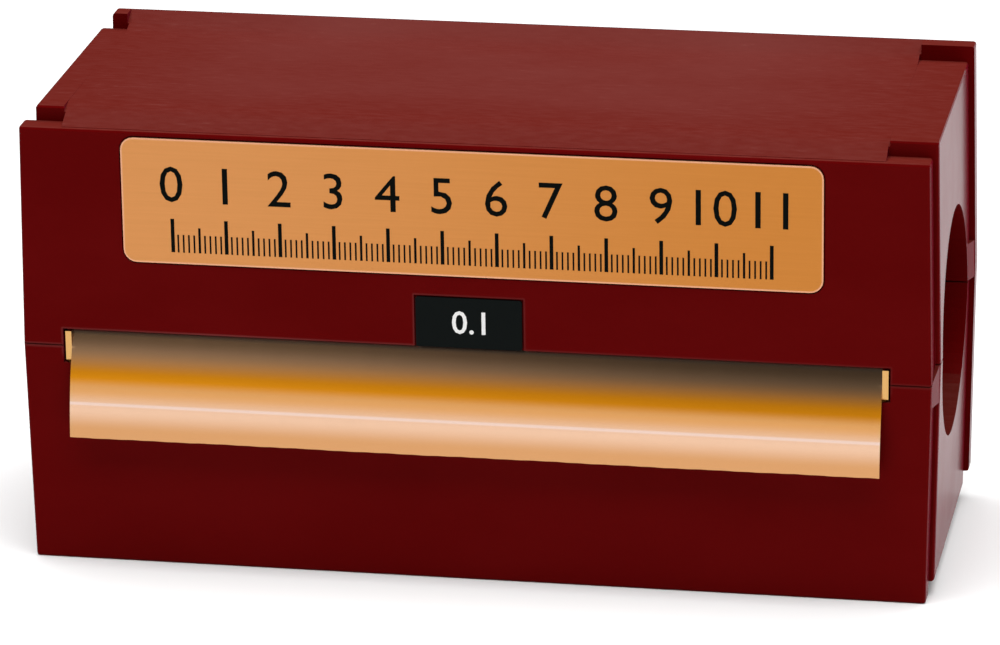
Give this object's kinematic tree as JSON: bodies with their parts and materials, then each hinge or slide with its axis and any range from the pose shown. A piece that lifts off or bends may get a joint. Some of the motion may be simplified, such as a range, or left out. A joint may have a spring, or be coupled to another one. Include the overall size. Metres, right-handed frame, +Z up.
{
  "type": "shim stock roll in cassette",
  "caption": "Roll of thin brass shim foil in a closed red moulded cassette, with its free end out of a slot across the front, finger bores in the ends and stepped stacking rims.",
  "frame": {"origin": "middle of the footprint of the whole cassette, at the foot of its front rim", "axes": "+X along the roll to the right, -Y to the front where the foil comes out, +Z up"},
  "size_m": [0.1702, 0.0604, 0.09],
  "materials": {
    "red_plastic": "satin moulded, dark maroon red",
    "brass_foil": "bright rolled foil",
    "brass_plate": "brushed, satin",
    "black_label": "black film with a pale line border"
  },
  "bodies": {
    "root": {"lower_shell": "red_plastic", "upper_shell": "red_plastic", "brass_foil": "brass_foil", "name_plate": "brass_plate", "thickness_label": "black_label"}
  },
  "joints": []
}
